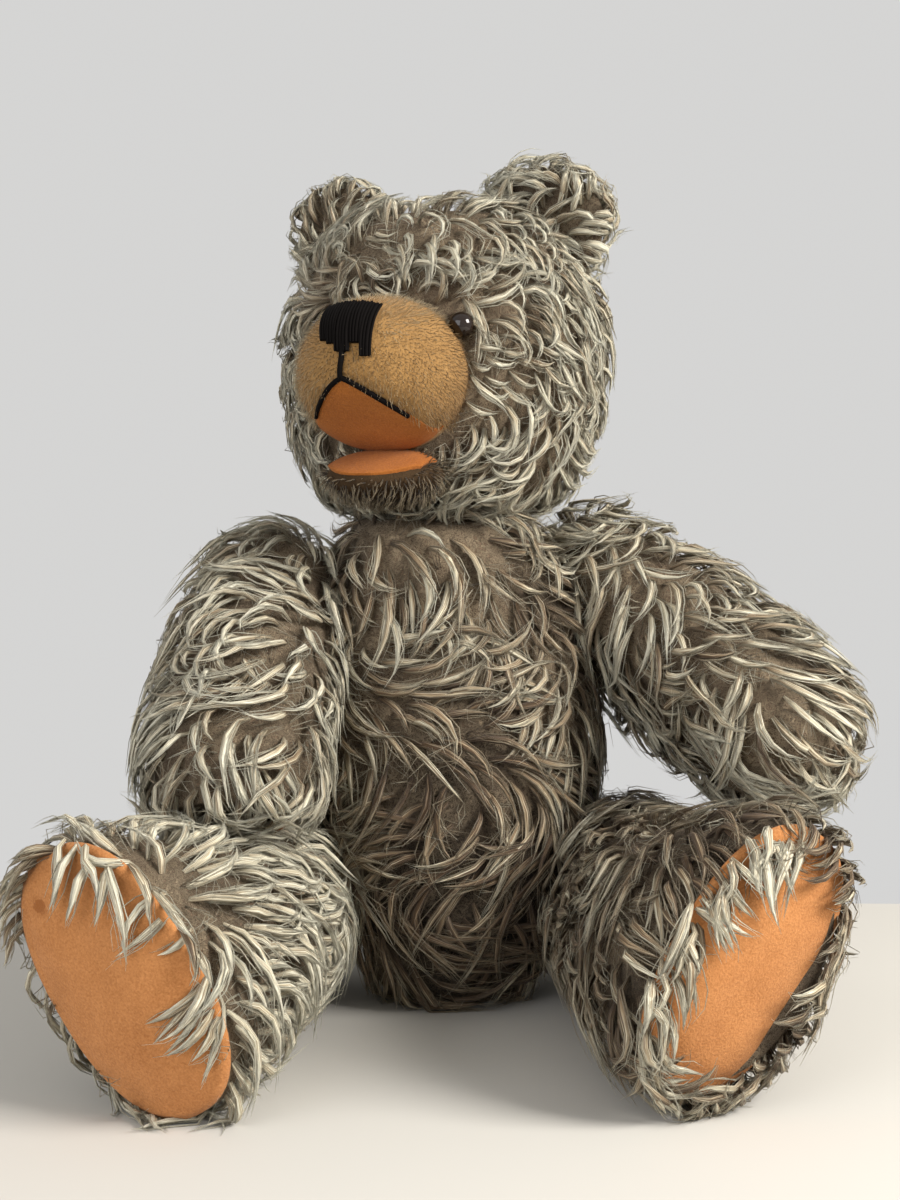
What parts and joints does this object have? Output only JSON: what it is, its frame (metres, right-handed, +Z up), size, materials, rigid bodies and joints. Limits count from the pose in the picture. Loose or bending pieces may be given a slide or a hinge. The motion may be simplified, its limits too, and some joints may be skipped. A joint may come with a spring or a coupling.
{
  "type": "teddy bear",
  "caption": "Sitting teddy bear with long curly pile, felt pads, a short-piled muzzle with an open felt mouth, and disc-jointed head, arms and legs.",
  "frame": {"origin": "middle of the flat that the seat of the torso rests on", "axes": "+Z up from the seat to the crown, -Y the way the torso faces, +X the bear's own left"},
  "size_m": [0.3199, 0.2587, 0.334],
  "materials": {
    "mohair": "long curly silvery-tipped pile",
    "short_pile": "short golden pile, worn",
    "chin_pile": "short brown pile",
    "peach_felt": "matt felt, faded",
    "black_thread": "twisted cotton, slightly glossy",
    "eye_glass": "polished, near black",
    "wood_wool": "packed wood wool",
    "hardboard": "plain hardboard",
    "steel": "plain"
  },
  "bodies": {
    "torso": {"torso_cover": "mohair", "torso_stuffing": "wood_wool", "neck_torso_disc": "hardboard", "neck_torso_washer": "steel", "shoulder_left_torso_disc": "hardboard", "shoulder_left_torso_washer": "steel", "shoulder_right_torso_disc": "hardboard", "shoulder_right_torso_washer": "steel", "hip_left_torso_disc": "hardboard", "hip_left_torso_washer": "steel", "hip_right_torso_disc": "hardboard", "hip_right_torso_washer": "steel"},
    "head": {"head_cover": "mohair", "head_stuffing": "wood_wool", "muzzle": "short_pile", "chin": "chin_pile", "mouth_lining": "peach_felt", "nose_stitching": "black_thread", "mouth_stitching": "black_thread", "eye_left": "eye_glass", "eye_right": "eye_glass", "ear_left": "mohair", "ear_right": "mohair", "neck_limb_disc": "hardboard", "neck_limb_washer": "steel", "neck_pin": "steel"},
    "arm_left": {"arm_left_cover": "mohair", "arm_left_stuffing": "wood_wool", "arm_left_pad": "peach_felt", "shoulder_left_limb_disc": "hardboard", "shoulder_left_limb_washer": "steel", "shoulder_left_pin": "steel"},
    "arm_right": {"arm_right_cover": "mohair", "arm_right_stuffing": "wood_wool", "arm_right_pad": "peach_felt", "shoulder_right_limb_disc": "hardboard", "shoulder_right_limb_washer": "steel", "shoulder_right_pin": "steel"},
    "leg_left": {"leg_left_cover": "mohair", "leg_left_stuffing": "wood_wool", "leg_left_pad": "peach_felt", "hip_left_limb_disc": "hardboard", "hip_left_limb_washer": "steel", "hip_left_pin": "steel"},
    "leg_right": {"leg_right_cover": "mohair", "leg_right_stuffing": "wood_wool", "leg_right_pad": "peach_felt", "hip_right_limb_disc": "hardboard", "hip_right_limb_washer": "steel", "hip_right_pin": "steel"}
  },
  "joints": [
    {"name": "neck", "type": "hinge", "parent": "torso", "child": "head", "pos_m": [0, 0.004, 0.196], "axis": [0, 0, 1], "continuous": true},
    {"name": "shoulder_left", "type": "hinge", "parent": "torso", "child": "arm_left", "pos_m": [0.048, 0.004, 0.15], "axis": [0.8384, 0.1782, 0.515], "range_deg": [-25, 140]},
    {"name": "shoulder_right", "type": "hinge", "parent": "torso", "child": "arm_right", "pos_m": [-0.048, 0.004, 0.15], "axis": [-0.9613, 0, 0.2756], "range_deg": [0, 50]},
    {"name": "hip_left", "type": "hinge", "parent": "torso", "child": "leg_left", "pos_m": [0.043, -0.012, 0.052], "axis": [0.9345, -0.0982, -0.342], "range_deg": [-10, 60]},
    {"name": "hip_right", "type": "hinge", "parent": "torso", "child": "leg_right", "pos_m": [-0.043, -0.012, 0.052], "axis": [-0.9033, 0.259, -0.342], "range_deg": [-60, 0]}
  ]
}
